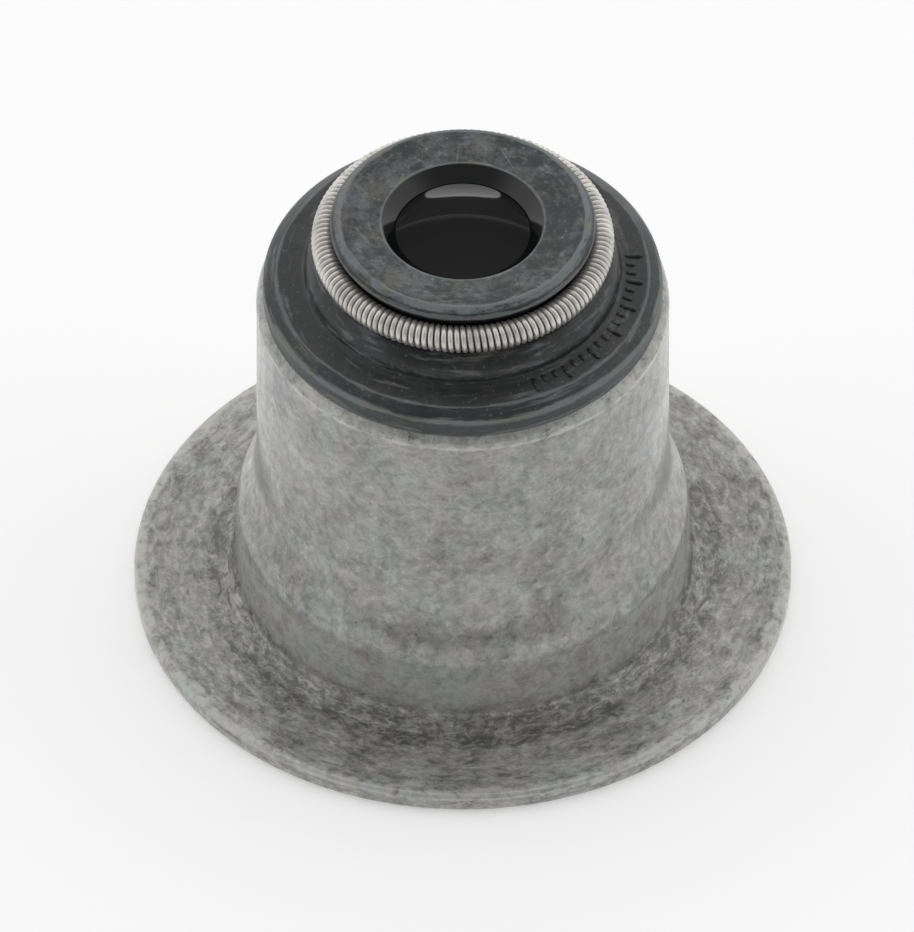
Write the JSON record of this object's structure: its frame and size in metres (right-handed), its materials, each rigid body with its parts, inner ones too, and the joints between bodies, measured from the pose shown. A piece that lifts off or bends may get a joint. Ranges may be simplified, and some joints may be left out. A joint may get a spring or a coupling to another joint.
{
  "type": "valve stem seal",
  "caption": "Valve stem seal: drawn steel cup with a wide flange, rubber head with a stem lip, and a garter spring ring.",
  "frame": {"origin": "centre of the flange's flat underside, on the axis of the seal", "axes": "+Z along the axis towards the lip that meets the valve stem; X and Y across the flange"},
  "size_m": [0.031, 0.031, 0.0242],
  "materials": {
    "steel": "matt tumbled and phosphated sheet steel with fine scratches",
    "rubber": "satin black fluoro rubber with pale dusty smudges",
    "spring_wire": "bright drawn spring wire"
  },
  "bodies": {
    "root": {"steel_shell": "steel", "rubber_body": "rubber", "garter_spring": "spring_wire"}
  },
  "joints": []
}
